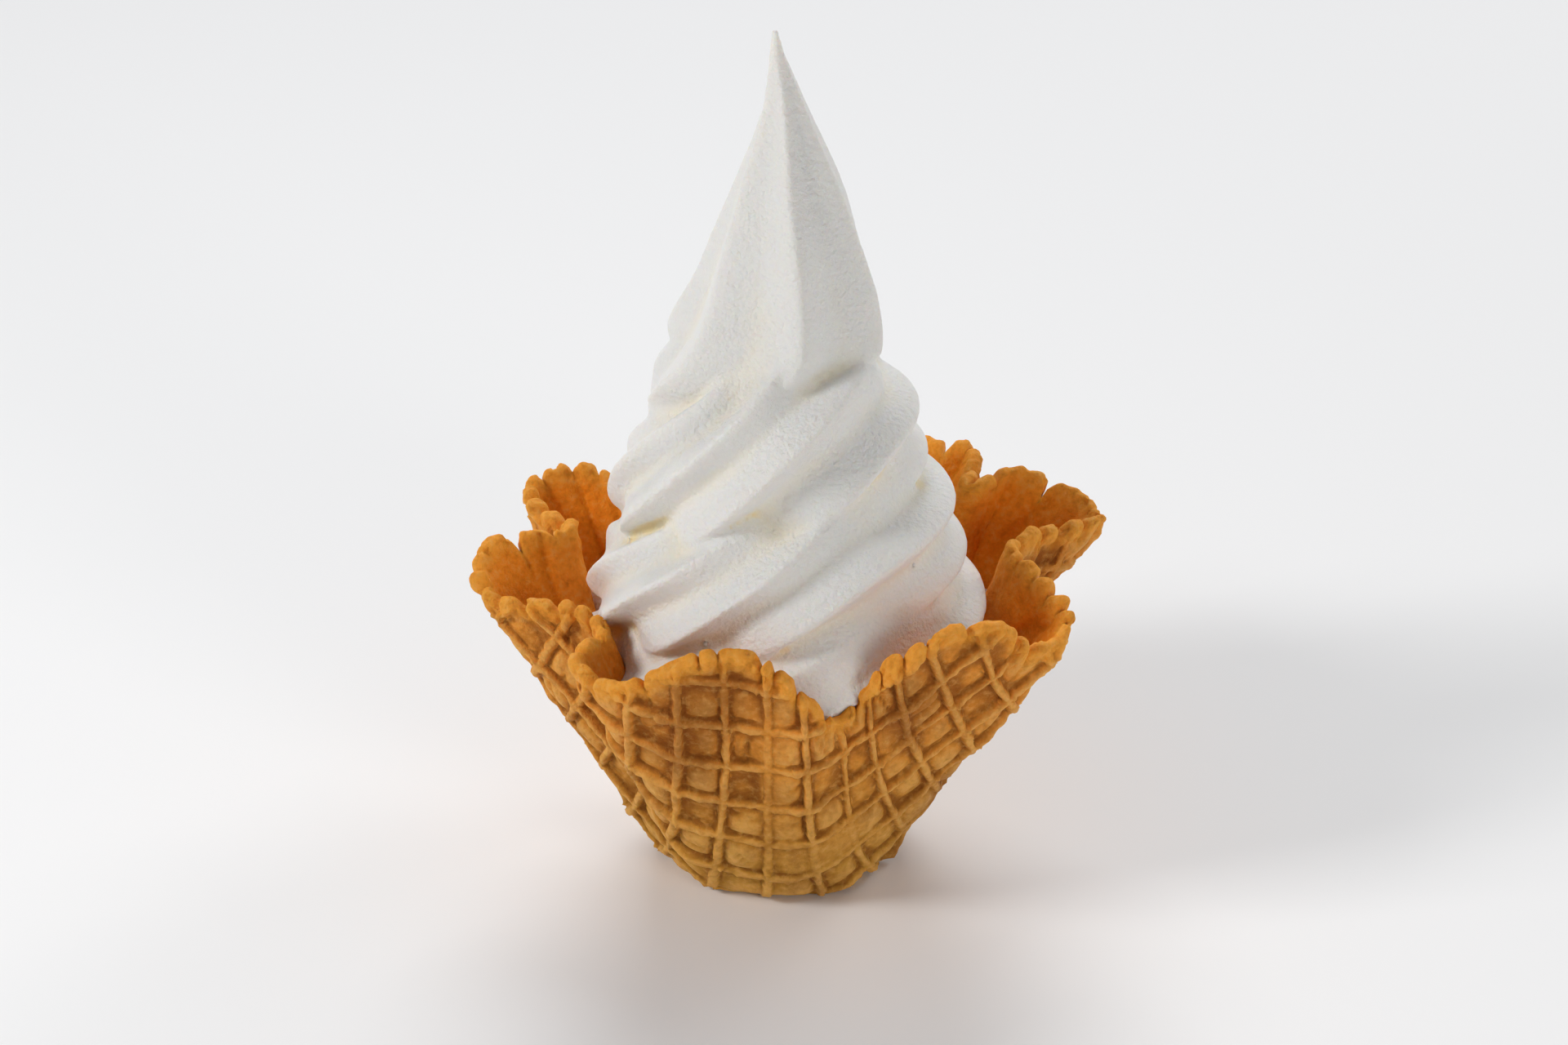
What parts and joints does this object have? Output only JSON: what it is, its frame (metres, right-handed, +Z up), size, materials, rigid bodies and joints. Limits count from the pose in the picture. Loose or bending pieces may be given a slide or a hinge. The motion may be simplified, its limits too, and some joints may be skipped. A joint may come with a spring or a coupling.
{
  "type": "soft serve in a waffle bowl",
  "caption": "Ridged soft serve piped in a swirl with a tall pointed peak, in a fluted waffle bowl that stands on its own flat base.",
  "frame": {"origin": "middle of the bowl's flat base, on the surface it stands on", "axes": "+Z up towards the tip of the swirl, -Y towards the widest grid-covered petal at the front, +X to the right seen from there"},
  "size_m": [0.1204, 0.104, 0.165],
  "materials": {
    "baked_waffle": "toasted, matt and rough",
    "soft_serve": "smooth and softly satin"
  },
  "bodies": {
    "root": {"waffle_bowl": "baked_waffle", "soft_serve": "soft_serve"}
  },
  "joints": []
}
